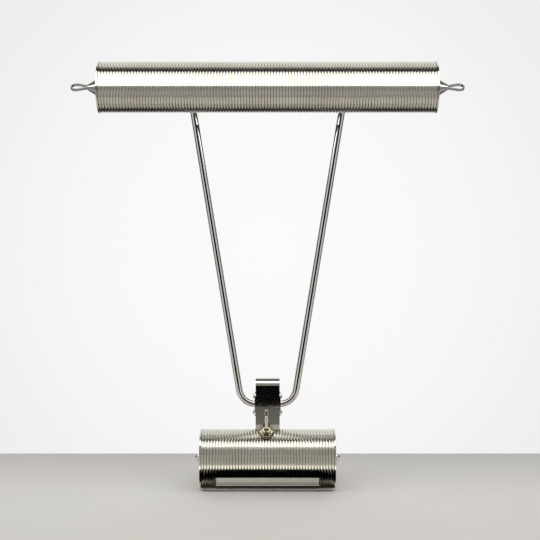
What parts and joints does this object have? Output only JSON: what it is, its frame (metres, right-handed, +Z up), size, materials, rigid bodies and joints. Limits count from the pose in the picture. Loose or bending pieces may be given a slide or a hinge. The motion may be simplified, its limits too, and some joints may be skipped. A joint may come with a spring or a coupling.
{
  "type": "desk lamp",
  "caption": "Desk lamp with a long ribbed tubular shade on a V of two tubes, standing on a ribbed drum base with a pen slot.",
  "frame": {"origin": "on the desk, under the middle of the base drum", "axes": "+X along the shade to the right as seen from the switch side, +Y to the back, +Z up"},
  "size_m": [0.458, 0.0782, 0.5036],
  "materials": {
    "ribbed_metal": "ribbed sheet, satin nickel sheen",
    "polished_metal": "mirror polished",
    "switch_brass": "nickelled brass, slightly warm",
    "felt": "felt",
    "ballast_iron": "as cast",
    "black_plastic": "matt",
    "holder_plastic": "moulded",
    "lamp_glass": "frosted glass",
    "lamp_cap_metal": "satin",
    "plain_steel": "plain"
  },
  "bodies": {
    "base": {"felt_pad": "felt", "foot_plate": "polished_metal", "foot_screws": "plain_steel", "ballast": "ballast_iron", "base_shell": "ribbed_metal", "base_end_left": "polished_metal", "base_end_right": "polished_metal", "tie_rod": "plain_steel", "dome_nuts": "polished_metal", "pen_tray": "polished_metal", "inlet_bush": "black_plastic", "stem_strap": "polished_metal", "tie_block": "plain_steel", "strap_screws": "plain_steel", "hinge_block": "plain_steel", "hinge_cheek_left": "polished_metal", "hinge_cheek_right": "polished_metal", "cheek_screws": "polished_metal", "tension_screw": "polished_metal", "switch_body": "holder_plastic", "switch_bush": "switch_brass", "switch_washer": "switch_brass", "switch_nut": "switch_brass"},
    "stem": {"hinge_barrel": "plain_steel", "stem_tube_left": "polished_metal", "stem_tube_right": "polished_metal", "stem_socket_left": "plain_steel", "stem_socket_right": "plain_steel", "lamp_carrier": "plain_steel", "socket_screws": "plain_steel", "pivot_pin_left": "plain_steel", "pivot_pin_right": "plain_steel", "friction_washer_left": "black_plastic", "friction_washer_right": "black_plastic", "lamp_holder_left": "holder_plastic", "lamp_holder_right": "holder_plastic", "lamp_glass": "lamp_glass", "lamp_cap_left": "lamp_cap_metal", "lamp_cap_right": "lamp_cap_metal", "lamp_filament": "plain_steel"},
    "shade": {"shade_shell": "ribbed_metal", "shade_end_left": "polished_metal", "shade_end_right": "polished_metal", "handle_cone_left": "polished_metal", "handle_cone_right": "polished_metal", "handle_loop_left": "polished_metal", "handle_loop_right": "polished_metal"},
    "toggle": {"toggle_lever": "switch_brass"}
  },
  "joints": [
    {"name": "stem_tilt", "type": "hinge", "parent": "base", "child": "stem", "pos_m": [0, 0.008, 0.097], "axis": [1, 0, 0], "range_deg": [-25, 25]},
    {"name": "shade_turn", "type": "hinge", "parent": "stem", "child": "shade", "pos_m": [0, -0.012, 0.473], "axis": [1, 0, 0], "range_deg": [-80, 18]},
    {"name": "switch_toggle", "type": "hinge", "parent": "base", "child": "toggle", "pos_m": [-0.0015, -0.01464, 0.06689], "axis": [1, 0, 0], "range_deg": [0, 25]}
  ]
}
